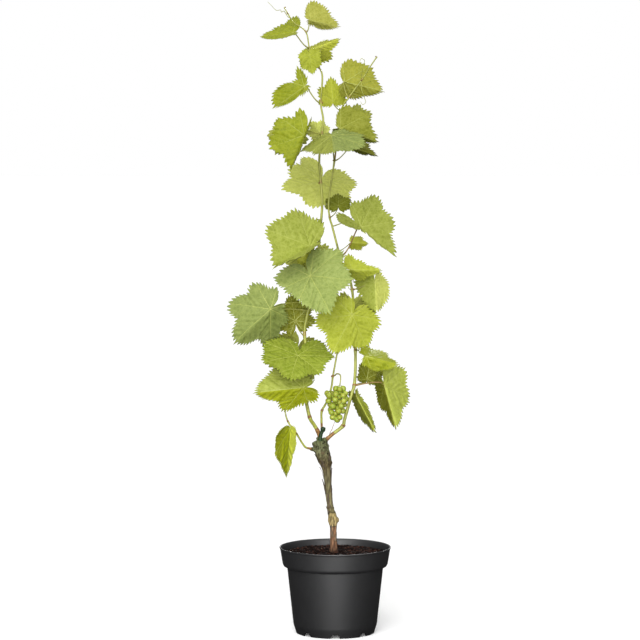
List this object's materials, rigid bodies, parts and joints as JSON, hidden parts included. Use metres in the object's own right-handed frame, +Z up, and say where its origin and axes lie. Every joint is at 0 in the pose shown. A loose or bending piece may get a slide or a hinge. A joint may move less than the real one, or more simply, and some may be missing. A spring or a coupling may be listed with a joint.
{
  "type": "potted grapevine",
  "caption": "Young grafted grapevine with lobed leaves and an unripe bunch on slender shoots, in a round black nursery pot.",
  "frame": {"origin": "middle of the pot's flat underside, on the ground", "axes": "+Z up the trunk; front, with the bunch and the largest leaves, faces -Y; +X to the right seen from the front"},
  "size_m": [0.3033, 0.2866, 1.0718],
  "materials": {
    "polypropylene": "injection-moulded black nursery container, satin",
    "peat": "dark moist peat compost",
    "bark": "rough grey-brown vine bark",
    "grafting_wax": "dark green grafting wax over the cut stub",
    "shoot_green": "smooth green cane with brown nodes",
    "grapes": "unripe green berries with a pale bloom",
    "leaf_mature": "matt blue-green upper face",
    "leaf_bright": "bright young green",
    "leaf_lime": "lime, light shining through",
    "leaf_shade": "shaded green",
    "leaf_under": "pale olive underside with raised veins"
  },
  "bodies": {
    "root": {"pot": "polypropylene", "soil": "peat", "trunk": "bark", "stub": "grafting_wax", "shoot_tall": "shoot_green", "shoot_right": "shoot_green", "shoot_middle": "shoot_green", "shoot_low": "shoot_green", "grape_bunch": "grapes", "leaf_tall_01": "leaf_bright", "leaf_tall_02": "leaf_bright", "leaf_tall_03": "leaf_bright", "leaf_tall_04": "leaf_bright", "leaf_tall_05": "leaf_bright", "leaf_tall_06": "leaf_bright", "leaf_tall_07": "leaf_under", "leaf_tall_08": "leaf_mature", "leaf_tall_09": "leaf_mature", "leaf_tall_10": "leaf_mature", "leaf_tall_11": "leaf_mature", "leaf_tall_12": "leaf_under", "leaf_tall_13": "leaf_mature", "leaf_tall_14": "leaf_bright", "leaf_tall_15": "leaf_bright", "leaf_tall_16": "leaf_bright", "leaf_right_01": "leaf_under", "leaf_right_02": "leaf_bright", "leaf_right_03": "leaf_mature", "leaf_right_04": "leaf_mature", "leaf_right_05": "leaf_shade", "leaf_right_06": "leaf_mature", "leaf_right_07": "leaf_shade", "leaf_right_08": "leaf_lime", "leaf_right_09": "leaf_mature", "leaf_right_10": "leaf_lime", "leaf_right_11": "leaf_lime", "leaf_right_12": "leaf_mature", "leaf_right_13": "leaf_under", "leaf_right_14": "leaf_shade", "leaf_right_15": "leaf_shade", "leaf_low_01": "leaf_bright", "leaf_back_01": "leaf_mature", "leaf_back_02": "leaf_mature", "leaf_back_03": "leaf_mature", "leaf_back_04": "leaf_mature", "leaf_back_05": "leaf_bright", "leaf_back_06": "leaf_bright", "leaf_back_07": "leaf_bright"}
  },
  "joints": []
}
